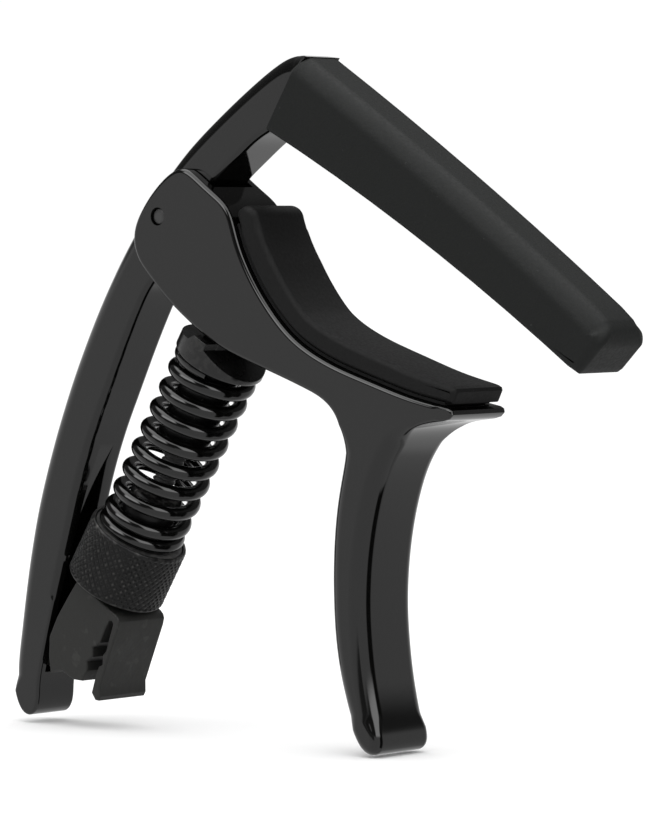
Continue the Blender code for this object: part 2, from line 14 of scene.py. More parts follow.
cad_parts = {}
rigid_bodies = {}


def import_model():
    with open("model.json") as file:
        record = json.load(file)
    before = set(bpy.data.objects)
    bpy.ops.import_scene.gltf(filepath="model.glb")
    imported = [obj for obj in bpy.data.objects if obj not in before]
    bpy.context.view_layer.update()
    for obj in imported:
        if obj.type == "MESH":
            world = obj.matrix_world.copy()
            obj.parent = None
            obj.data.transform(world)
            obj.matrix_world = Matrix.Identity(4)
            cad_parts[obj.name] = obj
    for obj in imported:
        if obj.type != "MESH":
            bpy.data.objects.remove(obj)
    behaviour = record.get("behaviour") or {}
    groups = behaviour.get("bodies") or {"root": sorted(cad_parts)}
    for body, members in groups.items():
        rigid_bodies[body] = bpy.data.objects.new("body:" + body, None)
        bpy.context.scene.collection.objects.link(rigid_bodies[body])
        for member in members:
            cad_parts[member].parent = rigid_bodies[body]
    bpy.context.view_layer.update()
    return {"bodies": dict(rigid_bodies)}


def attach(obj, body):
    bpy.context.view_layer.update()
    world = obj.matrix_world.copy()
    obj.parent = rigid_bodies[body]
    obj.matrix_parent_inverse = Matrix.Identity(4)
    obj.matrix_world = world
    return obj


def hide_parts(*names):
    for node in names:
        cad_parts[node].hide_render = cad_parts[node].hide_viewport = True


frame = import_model()

MM = 0.001

# ---------------------------------------------------------------- dimensions
PIVOT = (-20.215, 63.6)
REAR_HALF_WIDTH = 3.4
CHEEK_GAP_HALF = 3.65
FRONT_HALF_WIDTH = 5.1
SLEEVE_HALF_WIDTH = 4.6
PAD_HALF_WIDTH = 4.75
PAD_GAP = 0.5
FILM_HALF_WIDTH = 4.2
FILM_BETWEEN = (0.08, 0.45)
CHEEK_HOLE_RADIUS = 1.1
LEVER_HOLE_RADIUS = 1.12
CHANNEL_HALF_WIDTH = 2.15
BAR_START = (16.9, 10.3)
BAR_ANGLE = math.radians(-31.3)
BAR_LENGTH = 54.0
BAR_RISE = 1.05
SLEEVE_WALL = 1.7
SLEEVE_CLEARANCE = 0.06
CORE_LENGTH = BAR_LENGTH - 2.2
SEAT_POINT = (5.40, -17.73)
ROD_ANGLE = math.radians(31.27)
SEAT_RADIUS = 5.7
SEAT_BLANK_TOP = -4.2
SEAT_SPIGOT_RADIUS = 3.3
SEAT_SPIGOT_END = 12.2
SEAT_BORE_RADIUS = 2.2
SEAT_BORE_START = -1.6
RIB_HALF_WIDTH = 1.25
RIB_HEIGHT = 3.45
SWIVEL_HEIGHT = 4.0
SWIVEL_RADIUS = 1.3
SPRING_MEAN_RADIUS = 4.6
WIRE_RADIUS = 0.9
SPRING_PHASE = math.radians(62.0)
SPRING_START = 0.166
CLOSED_PITCH = 1.86
OPEN_PITCH = 2.93
CLOSED_TURNS_TOP = 0.95
OPEN_TURNS = 7.0
CLOSED_TURNS_END = 1.35
SPRING_TOP = 0.08
SPRING_END = 25.0
WASHER_TOP = 25.1
WASHER_THICKNESS = 0.55
WASHER_RADIUS = 5.75
WASHER_HOLE_RADIUS = 3.65
NUT_TOP = 25.0
NUT_RECESS_FLOOR = 25.7
NUT_BOTTOM = 33.0
NUT_RADIUS = 6.35
NUT_SPIGOT_RADIUS = 3.3
NUT_SPIGOT_TOP = 18.9
NUT_BORE_RADIUS = 1.6
ROD_RADIUS = 1.45
ROD_TOP = 2.0
ROD_BOTTOM = 41.5
THREAD_PITCH = 0.7
FOOT_PIVOT = (-22.4, -55.15)
FOOT_HALF_WIDTH = 4.3
TONGUE_HALF_WIDTH = 1.9
TONGUE_TOE_RADIUS = 1.15
CUT_THROUGH = 8.0
FLOOR_Z = -0.1


# ------------------------------------------------------------ plane geometry
def spline(points, steps=8):
    """Catmull-Rom curve through the points, open at both ends."""
    ends = [tuple(2 * a - b for a, b in zip(points[0], points[1]))]
    tail = [tuple(2 * a - b for a, b in zip(points[-1], points[-2]))]
    p = ends + list(points) + tail
    out = []
    for i in range(1, len(p) - 2):
        for k in range(steps):
            t = k / steps
            row = []
            for a, b, c, d in zip(p[i - 1], p[i], p[i + 1], p[i + 2]):
                row.append(0.5 * (2 * b + (c - a) * t + (2 * a - 5 * b + 4 * c - d) * t * t
                                  + (3 * b - a - 3 * c + d) * t ** 3))
            out.append(tuple(row))
    out.append(tuple(points[-1]))
    return out


def resample(points, step):
    """Even spacing along an open curve, ends kept."""
    p = np.array(points, float)
    length = np.concatenate([[0], np.cumsum(np.linalg.norm(np.diff(p, axis=0), axis=1))])
    count = max(2, int(round(length[-1] / step)))
    at = np.linspace(0, length[-1], count + 1)
    return [(float(np.interp(t, length, p[:, 0])), float(np.interp(t, length, p[:, 1]))) for t in at]


def fair(points, step=0.45, passes=40):
    """Smooth open curve: spline, even spacing, then averaging with the ends held."""
    p = np.array(resample(spline(points), step), float)
    for _ in range(passes):
        p[1:-1] += 0.5 * (0.5 * (p[:-2] + p[2:]) - p[1:-1])
    return [tuple(q) for q in p.tolist()]


def arc(centre, radius, start_deg, end_deg, steps):
    out = []
    for k in range(steps + 1):
        a = math.radians(start_deg + (end_deg - start_deg) * k / steps)
        out.append((centre[0] + radius * math.cos(a), centre[1] + radius * math.sin(a)))
    return out


def offset_curve(points, distance):
    """Curve moved sideways: to its left when distance is positive."""
    out = []
    for i, p in enumerate(points):
        a = points[max(i - 1, 0)]
        b = points[min(i + 1, len(points) - 1)]
        dx, dz = b[0] - a[0], b[1] - a[1]
        length = math.hypot(dx, dz)
        out.append((p[0] - dz / length * distance, p[1] + dx / length * distance))
    return out


def bar_point(u, v):
    """Point of the string bar: u along the chord, v above the lower face."""
    lift = 4 * BAR_RISE * (u / BAR_LENGTH) * (1 - u / BAR_LENGTH) + v
    c, s = math.cos(BAR_ANGLE), math.sin(BAR_ANGLE)
    return (BAR_START[0] + u * c - lift * s, BAR_START[1] + u * s + lift * c)


def bar_height(u):
    return 10.0 - 0.090 * u + 0.0006 * u * u


def bar_frame(x, z):
    """Distance along the bar's chord and height above it."""
    dx, dz = x - BAR_START[0], z - BAR_START[1]
    c, s = math.cos(BAR_ANGLE), math.sin(BAR_ANGLE)
    return dx * c + dz * s, dz * c - dx * s


def rod_point(n, s):
    """Point beside the rod line: n across it, s down it from the seat's face."""
    c, t = math.cos(ROD_ANGLE), math.sin(ROD_ANGLE)
    return (SEAT_POINT[0] + n * c - s * t, SEAT_POINT[1] - n * t - s * c)


# --------------------------------------------------------------- mesh making
ROD_AXIS = Vector((-math.sin(ROD_ANGLE), 0, -math.cos(ROD_ANGLE)))
ROD_SIDE = Vector((math.cos(ROD_ANGLE), 0, -math.sin(ROD_ANGLE)))
ROD_BASE = Vector((SEAT_POINT[0], 0, SEAT_POINT[1]))
ALONG_Y = Vector((0, 1, 0))
ROD_LINE = (ROD_BASE, ROD_AXIS, ROD_SIDE, ALONG_Y)
PIN_LINE = (Vector((0, 0, 0)), ALONG_Y, Vector((1, 0, 0)), Vector((0, 0, 1)))
PIVOT_SHIFT = Vector((PIVOT[0], 0, PIVOT[1])) * MM


def make_object(name, bm, mat=None):
    mesh = bpy.data.meshes.new(name)
    bmesh.ops.recalc_face_normals(bm, faces=bm.faces)
    bm.to_mesh(mesh)
    bm.free()
    mesh.transform(Matrix.Translation(PIVOT_SHIFT))
    if mat is not None:
        mesh.materials.append(mat)
    ob = bpy.data.objects.new(name, mesh)
    bpy.context.scene.collection.objects.link(ob)
    return ob


def skin(bm, rings, closed=False, capped=False):
    """Faces between neighbouring rings; a ring of one vertex makes a point."""
    pairs = list(zip(rings, rings[1:]))
    if closed:
        pairs.append((rings[-1], rings[0]))
    for a, b in pairs:
        count = max(len(a), len(b))
        for i in range(count):
            j = (i + 1) % count
            if len(a) == 1:
                bm.faces.new((a[0], b[i], b[j]))
            elif len(b) == 1:
                bm.faces.new((a[i], b[0], a[j]))
            else:
                bm.faces.new((a[i], b[i], b[j], a[j]))
    if capped:
        bm.faces.new(rings[0])
        bm.faces.new(list(reversed(rings[-1])))


def prism(name, outline, y0, y1, mat=None):
    """Outline in X and Z pushed along Y with sharp rims."""
    bm = bmesh.new()
    rings = []
    for y in (y0, y1):
        rings.append([bm.verts.new((x * MM, y * MM, z * MM)) for x, z in outline])
    skin(bm, rings, capped=True)
    return make_object(name, bm, mat)


def inward_directions(outline, square):
    """Mitred inward direction at each corner.  A corner named in square moves
    straight towards the partner it is given, which keeps that end face flat."""
    count = len(outline)
    area = sum(p[0] * q[1] - q[0] * p[1] for p, q in zip(outline, outline[1:] + outline[:1]))
    sign = 1.0 if area > 0 else -1.0
    out = []
    for i in range(count):
        p = Vector(outline[i])
        if i in square:
            out.append((Vector(outline[square[i]]) - p).normalized())
            continue
        before = (p - Vector(outline[i - 1])).normalized()
        after = (Vector(outline[(i + 1) % count]) - p).normalized()
        n1 = Vector((-before.y, before.x)) * sign
        n2 = Vector((-after.y, after.x)) * sign
        middle = (n1 + n2).normalized()
        out.append(middle / max(middle.dot(n1), 0.6))
    return out


def rounded_prism(name, outline, half, mat, radius, segments=8, square=None, slope=0.45):
    """Outline pushed along Y with quarter-round rims.  radius(x, z) gives the
    rim radius, and neighbouring radii differ by at most slope per millimetre."""
    count = len(outline)
    r = [radius(x, z) for x, z in outline]
    steps = [math.dist(outline[i], outline[(i + 1) % count]) for i in range(count)]
    for _ in range(2):
        for i in range(count):
            j = (i + 1) % count
            r[j] = min(r[j], r[i] + slope * steps[i])
        for i in reversed(range(count)):
            j = (i + 1) % count
            r[i] = min(r[i], r[j] + slope * steps[i])
    inward = inward_directions(outline, square or {})
    bm = bmesh.new()
    rings = []
    for side in (-1, 1):
        turns = range(segments + 1) if side < 0 else reversed(range(segments + 1))
        for k in turns:
            t = math.pi / 2 * k / segments
            ring = []
            for p, d, ri in zip(outline, inward, r):
                inset = ri * (1 - math.sin(t))
                y = side * (half - ri * (1 - math.cos(t)))
                ring.append(bm.verts.new(((p[0] + d.x * inset) * MM, y * MM, (p[1] + d.y * inset) * MM)))
            rings.append(ring)
    skin(bm, rings, capped=True)
    return make_object(name, bm, mat)


def lathe(name, profile, mat=None, steps=96, closed=False, bump=None, line=ROD_LINE):
    """Profile of (radius, s) turned about a line, s measured along it.
    bump(angle, s, radius) adds to the radius, for knurls and threads."""
    base, axis, side, across = line
    bm = bmesh.new()
    rings = []
    for radius, s in profile:
        centre = base + axis * s
        if radius == 0:
            rings.append([bm.verts.new(centre * MM)])
            continue
        ring = []
        for k in range(steps):
            a = 2 * math.pi * k / steps
            r = radius + (bump(a, s, radius) if bump else 0.0)
            spot = centre + side * (r * math.cos(a)) + across * (r * math.sin(a))
            ring.append(bm.verts.new(spot * MM))
        rings.append(ring)
    skin(bm, rings, closed)
    return make_object(name, bm, mat)


def rod_along_y(name, x, z, radius, y0, y1, mat=None, steps=64):
    return prism(name, arc((x, z), radius, 0, 360 * (steps - 1) / steps, steps - 1), y0, y1, mat)


def combine(target, tool, operation="DIFFERENCE"):
    mod = target.modifiers.new("cut", "BOOLEAN")
    mod.operation = operation
    mod.object = tool
    mod.solver = "EXACT"
    bpy.context.view_layer.update()
    done = bpy.data.meshes.new_from_object(target.evaluated_get(bpy.context.evaluated_depsgraph_get()))
    target.modifiers.clear()
    old = target.data
    target.data = done
    done.name = old.name + " cut"
    bpy.data.meshes.remove(old)
    bpy.data.objects.remove(tool, do_unlink=True)


def finish_surface(ob, angle=32, weighted=True):
    for poly in ob.data.polygons:
        poly.use_smooth = True
    ob.data.set_sharp_from_angle(angle=math.radians(angle))
    if weighted:
        mod = ob.modifiers.new("flat faces stay flat", "WEIGHTED_NORMAL")
        mod.keep_sharp = True
        mod.weight = 100


# ---------------------------------------------------------------- rear lever
def rear_outline():
    """Handle, neck and the core of the string bar as one outline."""
    along = (0.0, 10, 20, 30, 40, CORE_LENGTH)
    core_low = resample([bar_point(u, SLEEVE_WALL) for u in along], 2.0)
    core_high = resample([bar_point(u, bar_height(u) - SLEEVE_WALL) for u in reversed(along)], 2.0)
    back = [(21.0, 19.15), (19.6, 19.3), (18.0, 18.9), (16.4, 18.1), (14.2, 16.8), (10.6, 14.4),
            (7.0, 11.8), (3.9, 9.4), (1.3, 7.1), (-2.5, 3.1), (-6.1, -1.7), (-9.1, -6.0),
            (-12.15, -11.0), (-14.9, -16.2), (-17.35, -21.4), (-20.1, -28.2), (-22.55, -35.6),
            (-24.1, -42.0), (-25.2, -48.0), (-26.1, -54.0), (-26.35, -57.0), (-26.2, -59.2),
            (-25.7, -61.0), (-24.75, -62.55), (-23.6, -63.0), (-22.5, -62.4), (-21.98, -61.35),
            (-21.85, -60.0), (-21.8, -58.2), (-20.5, -53.1), (-18.7, -46.7), (-16.6, -39.4),
            (-14.5, -32.3), (-12.4, -26.8), (-10.0, -21.7), (-7.5, -16.5), (-5.1, -11.9),
            (-3.4, -9.1), (-1.6, -7.2), (0.7, -5.4), (2.9, -3.3), (4.5, -0.5), (5.8, 1.8),
            (7.5, 4.2), (8.9, 5.3), (10.5, 6.5), (12.0, 7.6), (13.5, 8.7), (14.8, 9.5), (15.9, 10.0)]
    lower = bar_point(-0.25, 0.1)
    upper = bar_point(-0.1, bar_height(0) + 0.1)
    foot = bar_point(-0.25, SLEEVE_WALL)
    head = bar_point(-0.1, bar_height(0) - SLEEVE_WALL)
    return core_low[1:] + core_high[:-1] + [head, upper] + fair(back, 0.4, 12) + [lower, foot]


def rear_rim(x, z):
    """Large rounding on the lever's back; on its inner side a rim that grows downwards."""
    back, inner, toe, core = 2.2, 0.7, 1.9, 0.4
    if bar_frame(x, z)[0] > -0.4:
        return core
    if z < -58.5:
        return toe
    below = z + 6.0
    if below < 0:
        middle = -6.4 + 0.60 * below + 0.0058 * below ** 2
        towards_toe = min(max((-52.0 - z) / 6.5, 0.0), 1.0)
        if x < middle:
            return back + (toe - back) * towards_toe
        return min(inner - 0.012 * below, 1.05)
    return back if z > 0.82 * x + 0.59 else inner


def trough(name, floor, floor_half_width, wall_deg, height):
    """Groove with a flat floor and side walls that lean outwards."""
    outer = offset_curve(floor, height)
    outer_half = floor_half_width + height * math.tan(math.radians(wall_deg))
    bm = bmesh.new()
    rings = []
    for (x0, z0), (x1, z1) in zip(floor, outer):
        corners = ((x0, -floor_half_width, z0), (x0, floor_half_width, z0),
                   (x1, outer_half, z1), (x1, -outer_half, z1))
        rings.append([bm.verts.new((x * MM, y * MM, z * MM)) for x, y, z in corners])
    skin(bm, rings, capped=True)
    return make_object(name, bm)


def build_rear_lever(mat):
    lever = rounded_prism("rear_lever_body", rear_outline(), REAR_HALF_WIDTH, mat, rear_rim, slope=0.8)
    floor = fair([(-12.2, -27.0), (-15.8, -33.0), (-18.6, -39.5), (-21.2, -46.0), (-22.9, -51.5),
                  (-24.1, -56.6)], 0.8)
    pocket = [(-21.4, -46.6), (-22.9, -51.5), (-24.1, -56.6), (-22.9, -57.7), (-20.6, -56.9),
              (-15.0, -56.4), (-15.0, -47.6), (-18.4, -45.6)]
    combine(lever, trough("cut trough", floor, 1.2, 25.0, 5.0))
    combine(lever, prism("cut foot pocket", pocket, -CHANNEL_HALF_WIDTH, CHANNEL_HALF_WIDTH))
    combine(lever, rod_along_y("cut lever bore", 0, 0, LEVER_HOLE_RADIUS, -CUT_THROUGH, CUT_THROUGH))
    finish_surface(lever)
    return lever


# ------------------------------------------------------------- string sleeve
def build_string_sleeve(mat):
    low = resample([bar_point(u, 0.0) for u in (0, 6, 12, 18, 24, 30, 36, 42, 48, BAR_LENGTH)], 1.5)
    tip = [(BAR_LENGTH + 0.3, 0.6), (BAR_LENGTH + 0.9, 3.2), (BAR_LENGTH + 1.2, 4.8),
           (BAR_LENGTH + 0.7, 6.1), (BAR_LENGTH - 0.8, 6.75)]
    end = spline([bar_point(u, v) for u, v in tip], 4)
    high = resample([bar_point(u, bar_height(u)) for u in (51, 47, 42, 36, 30, 24, 18, 12, 6, 0)], 1.5)
    outline = low + end + high

    def rim(x, z):
        along, lift = bar_frame(x, z)
        if along > BAR_LENGTH - 0.3 and lift < 4.5:
            return 1.1
        return 2.7 if lift > 4.5 else 0.6

    ends = {0: len(outline) - 1, len(outline) - 1: 0}
    sleeve = rounded_prism("string_sleeve", outline, SLEEVE_HALF_WIDTH, mat, rim, 10, ends, slope=0.6)
    gap = SLEEVE_CLEARANCE
    along = (-2.0, 10, 20, 30, 40, CORE_LENGTH + gap)
    bore_low = [bar_point(u, SLEEVE_WALL - gap) for u in along]
    bore_high = [bar_point(u, bar_height(u) - SLEEVE_WALL + gap) for u in reversed(along)]
    half = REAR_HALF_WIDTH + gap
    combine(sleeve, prism("cut sleeve bore", bore_low + bore_high, -half, half))
    finish_surface(sleeve, 40)
    return sleeve


# --------------------------------------------------------------- front lever
SADDLE = [(11.0, 1.2), (11.65, 0.2), (12.2, -1.4), (13.1, -3.9), (14.8, -7.0), (17.0, -10.0),
          (19.8, -13.0), (22.9, -15.3), (27.4, -17.4), (33.5, -19.35), (39.5, -21.05), (45.2, -22.15)]


def front_outline():
    nose = [(-1.7, -7.2), (-3.2, -5.6), (-4.0, -4.0), (-4.2, -2.5), (-3.8, -0.8), (-2.4, 1.4),
            (-0.8, 3.2), (1.0, 4.75), (2.7, 5.7), (3.9, 5.95), (5.2, 5.4), (7.9, 3.5), (10.0, 2.1)]
    tip = [(45.7, -22.4), (45.8, -22.9), (45.3, -23.4), (44.4, -23.65)]
    handle = [(44.4, -23.65), (42.6, -23.9), (40.8, -24.2), (39.2, -24.9), (37.7, -26.2), (36.4, -27.8),
              (35.3, -29.6), (34.4, -31.7), (33.5, -34.6), (32.8, -37.8), (32.3, -41.5), (32.1, -45.8),
              (32.35, -50.0), (32.9, -54.2), (33.7, -58.0), (34.5, -60.9), (34.8, -62.0), (34.6, -63.0),
              (33.8, -63.6), (32.7, -63.6), (31.7, -63.0), (30.8, -61.7), (29.7, -59.4), (28.8, -56.8),
              (27.9, -53.6), (27.25, -49.8), (26.95, -45.6), (26.9, -41.5), (27.1, -37.6), (27.5, -34.2),
              (28.1, -31.2), (28.7, -28.6), (28.9, -26.6), (28.6, -24.8), (27.9, -23.3), (26.7, -22.1),
              (25.1, -21.15), (23.0, -20.35), (19.9, -19.25), (16.3, -18.05), (12.9, -16.9),
              (10.0, -15.8), (7.3, -14.4), (4.9, -12.8), (2.3, -10.9), (0.1, -9.0), (-1.7, -7.2)]
    upper = fair(nose + SADDLE, 0.4, 8)
    return upper + tip[:-1] + fair(handle, 0.4, 12)[:-1]


def build_front_lever(mat):
    def rim(x, z):
        if x > 43.5:
            return 0.35
        if z < -60.5:
            return 1.2
        return 2.0 if z < -24.8 and x > 25 else 0.6

    lever = rounded_prism("front_lever_body", front_outline(), FRONT_HALF_WIDTH, mat, rim)
    slot = [(7.95, 3.75), (5.95, 0.85), (4.95, -1.5), (4.3, -5.0), (4.1, -8.0), (3.5, -11.0),
            (2.4, -14.0), (-12.0, -14.0), (-12.0, 12.0), (12.0, 12.0), (9.5, 6.0)]
    combine(lever, prism("cut cheek slot", slot, -CHEEK_GAP_HALF, CHEEK_GAP_HALF))
    combine(lever, rod_along_y("cut pin bores", 0, 0, CHEEK_HOLE_RADIUS, -CUT_THROUGH, CUT_THROUGH))
    sx, sz = rod_point(0, -SWIVEL_HEIGHT)
    groove = SWIVEL_RADIUS + 0.3
    combine(lever, rod_along_y("cut seat groove", sx, sz, groove, -CHEEK_GAP_HALF, CHEEK_GAP_HALF))
    lean = math.radians(-27.0)
    c, s = math.cos(lean), math.sin(lean)
    hollow = []
    for a, b in ((-7.0, -4.0), (8.2, -4.0), (8.2, 0.0), (7.0, 1.2), (-7.0, 1.2)):
        hollow.append((sx + a * c - b * s, sz + a * s + b * c))
    combine(lever, prism("cut seat hollow", hollow, -CHEEK_GAP_HALF, CHEEK_GAP_HALF))
    finish_surface(lever)
    return lever


def pad_thickness(share):
    """Thickness from the pivot end (0) to the far end (1)."""
    upper = min(max((0.4 - share) / 0.2, 0.0), 1.0)
    return 2.45 + 1.3 * share - 1.75 * share ** 2 + 0.55 * upper


def build_neck_pad(mat_pad, mat_film):
    line = fair(SADDLE[1:], 0.6, 6)
    film_low, film_high = [offset_curve(line[2:-2], height) for height in FILM_BETWEEN]
    film = prism("neck_pad_film", film_low + list(reversed(film_high)), -FILM_HALF_WIDTH, FILM_HALF_WIDTH,
                 mat_film)
    finish_surface(film, weighted=False)
    low = offset_curve(line, PAD_GAP)
    count = len(line) - 1
    high = []
    for i in range(count + 1):
        high.append(offset_curve(line, PAD_GAP + pad_thickness(i / count))[i])
    high = [p for p in high if p[1] < -1.0]
    x, z = high[-1][0] + 0.3, high[-1][1] - 0.1
    high[-1] = (x - 0.55, z + 0.13)
    high += [(x - 0.12, z - 0.08), (x, z - 0.5)]
    top = spline([(15.6, -0.35), (15.35, 0.4), (14.8, 1.0), (14.0, 1.3), (13.2, 1.25), (12.5, 0.9)], 4)

    def rim(x, z):
        return 0.95 if z > -1.5 else 0.75

    pad = rounded_prism("neck_pad_rubber", low + list(reversed(high)) + top, PAD_HALF_WIDTH, mat_pad, rim, 6)
    finish_surface(pad, 40)
    return pad, film


def build_pivot_pin(mat):
    """Pin with slightly domed ends."""
    half = [(0.0, 4.80), (0.45, 4.85), (0.78, 4.82), (0.93, 4.74), (1.0, 4.6)]
    profile = [(radius, -s) for radius, s in half] + list(reversed(half))
    pin = lathe("pivot_pin_steel", profile, mat, steps=64, line=PIN_LINE)
    finish_surface(pin, 50, weighted=False)
    return pin


# -------------------------------------------------------- spring and tension
def seat_roof():
    """Seat's upper side as (n, height): two shallow slopes with a cross rib between them."""
    left = [(-7.0, 1.7), (-RIB_HALF_WIDTH - 0.45, 2.5), (-RIB_HALF_WIDTH + 0.35, RIB_HEIGHT)]
    right = [(RIB_HALF_WIDTH, RIB_HEIGHT), (RIB_HALF_WIDTH, 2.58), (7.0, 0.16)]
    return left + right


def build_spring_seat(mat):
    r = SEAT_RADIUS
    spigot = SEAT_SPIGOT_RADIUS
    end = SEAT_SPIGOT_END
    profile = [(0, SEAT_BLANK_TOP), (r, SEAT_BLANK_TOP), (r, -0.3), (r - 0.12, -0.08), (r - 0.35, 0),
               (spigot, 0), (spigot, end - 0.5), (spigot - 0.5, end), (0, end)]
    seat = lathe("spring_seat_body", profile, mat)
    above = [rod_point(n, -height) for n, height in [(-7.0, 8.0)] + seat_roof() + [(7.0, 8.0)]]
    combine(seat, prism("cut seat roof", above, -CUT_THROUGH, CUT_THROUGH))
    sx, sz = rod_point(0, -SWIVEL_HEIGHT)
    lean = -math.degrees(ROD_ANGLE)
    rib = arc((sx, sz), SWIVEL_RADIUS, lean, lean + 180, 24)
    rib += [rod_point(-SWIVEL_RADIUS, -2.0), rod_point(SWIVEL_RADIUS, -2.0)]
    combine(seat, prism("add seat rib", rib, -spigot, spigot), "UNION")
    hole = SEAT_BORE_RADIUS
    bore = [(0, SEAT_BORE_START), (hole, SEAT_BORE_START), (hole, end + 2), (0, end + 2)]
    combine(seat, lathe("cut seat bore", bore, steps=64))
    edge = seat.modifiers.new("small edge rounding", "BEVEL")
    edge.width = 0.14 * MM
    edge.segments = 2
    edge.angle_limit = math.radians(32)
    finish_surface(seat)
    return seat


def coil_height(turn):
    """Wire centre along the rod: closed coils at both ends, open coils between."""
    last_open = CLOSED_TURNS_TOP + OPEN_TURNS
    first = min(turn, CLOSED_TURNS_TOP)
    middle = min(max(turn - CLOSED_TURNS_TOP, 0.0), OPEN_TURNS)
    last = max(turn - last_open, 0.0)
    return SPRING_START + CLOSED_PITCH * (first + last) + OPEN_PITCH * middle


def build_spring(mat):
    """Right-hand coil of round wire, its closed end coils ground flat."""
    bm = bmesh.new()
    ring_steps = 18
    per_turn = 60
    total = CLOSED_TURNS_TOP + OPEN_TURNS + CLOSED_TURNS_END
    rings = []
    count = round(total * per_turn)
    for i in range(count + 1):
        turn = total * i / count
        a = 2 * math.pi * turn + SPRING_PHASE
        radial = ROD_SIDE * math.cos(a) - Vector((0, math.sin(a), 0))
        ring = []
        for k in range(ring_steps):
            b = 2 * math.pi * k / ring_steps
            s = coil_height(turn) + WIRE_RADIUS * math.sin(b)
            s = min(max(s, SPRING_TOP), SPRING_END)
            out = SPRING_MEAN_RADIUS + WIRE_RADIUS * math.cos(b)
            ring.append(bm.verts.new((ROD_BASE + ROD_AXIS * s + radial * out) * MM))
        rings.append(ring)
    skin(bm, rings, capped=True)
    spring = make_object("compression_spring", bm, mat)
    finish_surface(spring, 60, weighted=False)
    return spring


def build_spring_washer(mat):
    top = WASHER_TOP
    low = WASHER_TOP + WASHER_THICKNESS
    r = WASHER_RADIUS
    hole = WASHER_HOLE_RADIUS
    profile = [(hole, top), (r - 0.15, top), (r - 0.03, top + 0.06), (r, top + 0.18), (r, low - 0.18),
               (r - 0.03, low - 0.06), (r - 0.15, low), (hole, low)]
    washer = lathe("spring_washer_steel", profile, mat, closed=True)
    finish_surface(washer, weighted=False)
    return washer


def triangle_wave(t):
    """0 at whole numbers, 1 halfway between them."""
    return 1.0 - abs(2.0 * (t - math.floor(t)) - 1.0)


def build_tension_nut(mat):
    """Diamond knurl: two crossing sets of helical grooves on a chamfered drum."""
    r = NUT_RADIUS
    bore = NUT_BORE_RADIUS
    spigot = NUT_SPIGOT_RADIUS
    rim_inner = WASHER_RADIUS + 0.1
    around = 44
    groove_pitch = 0.95
    depth = 0.2
    flat_top = 0.72
    rows = 72
    face = []
    for k in range(rows + 1):
        face.append((r - 0.04, NUT_TOP + 0.3 + (NUT_BOTTOM - NUT_TOP - 0.65) * k / rows))
    profile = [(bore, NUT_SPIGOT_TOP), (spigot - 0.4, NUT_SPIGOT_TOP), (spigot, NUT_SPIGOT_TOP + 0.4),
               (spigot, NUT_RECESS_FLOOR), (rim_inner, NUT_RECESS_FLOOR), (rim_inner, NUT_TOP + 0.05),
               (rim_inner + 0.05, NUT_TOP), (r - 0.28, NUT_TOP), (r - 0.2, NUT_TOP + 0.03)]
    profile += face
    profile += [(r - 0.2, NUT_BOTTOM - 0.12), (r - 0.45, NUT_BOTTOM), (bore, NUT_BOTTOM)]

    def knurl(angle, s, radius):
        if radius < r - 0.1:
            return 0.0
        turn = around * angle / (2 * math.pi)
        rise = (s - NUT_TOP) / groove_pitch
        edge = min(s - NUT_TOP - 0.3, NUT_BOTTOM - 0.35 - s, 0.25) / 0.25
        height = min(triangle_wave(turn + rise), triangle_wave(turn - rise), flat_top) / flat_top
        return depth * (height - 1.0) * max(edge, 0.25)

    nut = lathe("tension_nut_knurled", profile, mat, steps=around * 9, closed=True, bump=knurl)
    finish_surface(nut, 50, weighted=False)
    return nut


def build_threaded_rod(mat):
    """Helical V-thread from end to end."""
    r = ROD_RADIUS
    rows = int((ROD_BOTTOM - ROD_TOP) / THREAD_PITCH * 6)
    profile = [(0, ROD_TOP), (r - 0.4, ROD_TOP)]
    for k in range(rows + 1):
        profile.append((r, ROD_TOP + 0.4 + (ROD_BOTTOM - ROD_TOP - 0.4) * k / rows))
    profile.append((0, ROD_BOTTOM))

    def thread(angle, s, radius):
        if radius < r - 0.1:
            return 0.0
        return -0.3 * (1.0 - triangle_wave(s / THREAD_PITCH + angle / (2 * math.pi)))

    rod = lathe("threaded_rod_steel", profile, mat, steps=24, bump=thread)
    finish_surface(rod, 60, weighted=False)
    return rod


